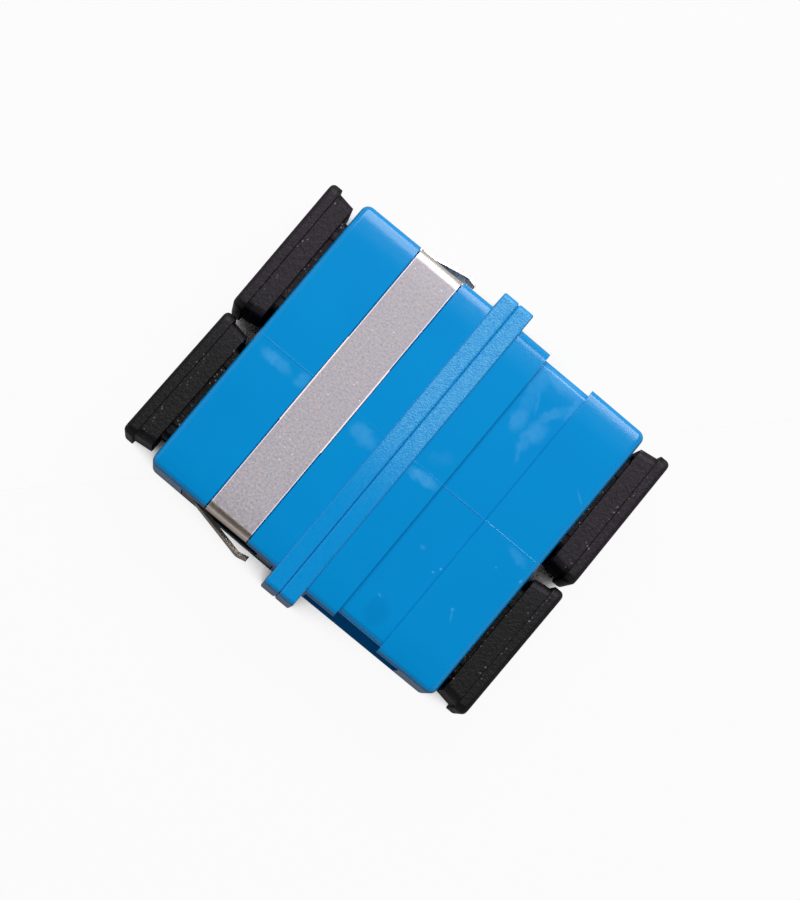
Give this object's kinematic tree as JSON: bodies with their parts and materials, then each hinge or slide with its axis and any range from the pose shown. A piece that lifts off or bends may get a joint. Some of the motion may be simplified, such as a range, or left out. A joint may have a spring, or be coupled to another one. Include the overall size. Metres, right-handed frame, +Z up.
{
  "type": "duplex sc fibre adapter with panel clip and dust caps",
  "caption": "Flat blue fibre coupler: welded housing halves with a stop flange, a folded steel panel clip, and black caps plugging its ports.",
  "frame": {"origin": "centre of the underside, on the flange weld plane and midway between the channels, in the plane the adapter lies on", "axes": "+X along the fibre channels toward the half without a clip, +Y across the width, +Z up out of the broad face that the clip's strap crosses"},
  "size_m": [0.0336, 0.0286, 0.0095],
  "materials": {
    "housing_blue": "smooth moulded, blue; flange finely spark-eroded",
    "clip_steel": "bare stainless sheet, dull grain with bright sheared edges",
    "insert_natural": "natural engineering plastic",
    "sleeve_ceramic": "ground white zirconia",
    "cap_black": "soft matte black"
  },
  "bodies": {
    "adapter": {"housing_clip_half": "housing_blue", "housing_plain_half": "housing_blue", "panel_clip": "clip_steel", "latch_insert_clip_left": "insert_natural", "latch_insert_plain_left": "insert_natural", "latch_insert_clip_right": "insert_natural", "latch_insert_plain_right": "insert_natural", "split_sleeve_left": "sleeve_ceramic", "split_sleeve_right": "sleeve_ceramic"},
    "cap_clip_left": {"dust_cap_clip_left": "cap_black"},
    "cap_clip_right": {"dust_cap_clip_right": "cap_black"},
    "cap_plain_left": {"dust_cap_plain_left": "cap_black"},
    "cap_plain_right": {"dust_cap_plain_right": "cap_black"}
  },
  "joints": [
    {"name": "pull_cap_clip_left", "type": "slide", "parent": "adapter", "child": "cap_clip_left", "axis": [-1, 0, 0], "range_m": [-0.0003, 0.012]},
    {"name": "pull_cap_clip_right", "type": "slide", "parent": "adapter", "child": "cap_clip_right", "axis": [-1, 0, 0], "range_m": [-0.0003, 0.012]},
    {"name": "pull_cap_plain_left", "type": "slide", "parent": "adapter", "child": "cap_plain_left", "axis": [1, 0, 0], "range_m": [-0.0003, 0.012]},
    {"name": "pull_cap_plain_right", "type": "slide", "parent": "adapter", "child": "cap_plain_right", "axis": [1, 0, 0], "range_m": [-0.0003, 0.012]}
  ]
}
